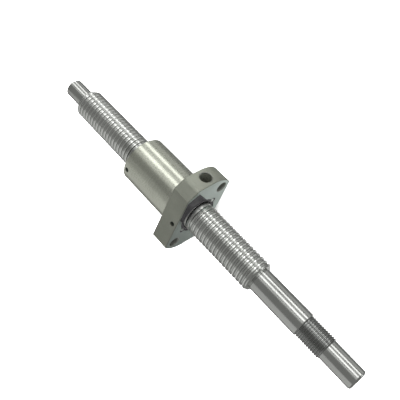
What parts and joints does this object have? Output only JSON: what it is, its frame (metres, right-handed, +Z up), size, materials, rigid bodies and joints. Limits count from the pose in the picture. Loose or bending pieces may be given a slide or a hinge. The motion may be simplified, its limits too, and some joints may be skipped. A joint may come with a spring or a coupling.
{
  "type": "ball screw assembly",
  "caption": "Slim ball screw with machined journals and a rhombic-flange ball nut; the nut runs along the thread as it turns, carried by recirculating balls.",
  "frame": {"origin": "on the screw axis, at the shoulder between the ball thread and the drive-end journal", "axes": "+X along the screw axis toward the drive end, +Y through the flange's bolt holes at rest, +Z up"},
  "size_m": [0.18, 0.0388, 0.0304],
  "materials": {
    "shaft_steel": "ground and polished",
    "nut_steel": "satin ground, slightly warm",
    "ball_steel": "polished",
    "deflector_steel": "sintered, matte",
    "black_plastic": "moulded",
    "small_screws": "black oxide"
  },
  "bodies": {
    "screw": {"screw_shaft": "shaft_steel"},
    "wipers": {"front_wiper": "black_plastic", "rear_wiper": "black_plastic"},
    "nut": {"nut_body": "nut_steel", "ball_circuit_1": "ball_steel", "ball_circuit_2": "ball_steel", "ball_circuit_3": "ball_steel", "ball_circuit_4": "ball_steel", "deflector_1": "deflector_steel", "deflector_2": "deflector_steel", "deflector_3": "deflector_steel", "deflector_4": "deflector_steel", "front_wiper_retainer": "black_plastic", "rear_wiper_retainer": "black_plastic", "front_retainer_screws": "small_screws", "rear_retainer_screws": "small_screws", "front_lock_screw": "small_screws", "rear_lock_screw": "small_screws"}
  },
  "joints": [
    {"name": "nut_travel", "type": "slide", "parent": "screw", "child": "wipers", "axis": [1, 0, 0], "range_m": [-0.0401, 0.0341]},
    {"name": "nut_spin", "type": "hinge", "parent": "wipers", "child": "nut", "pos_m": [-0.055, 0, 0], "axis": [1, 0, 0], "range_deg": [-7200, 6120]}
  ],
  "couplings": [
    {"joint": "nut_travel", "follows": "nut_spin", "m_per_rad": 0.00031831}
  ]
}
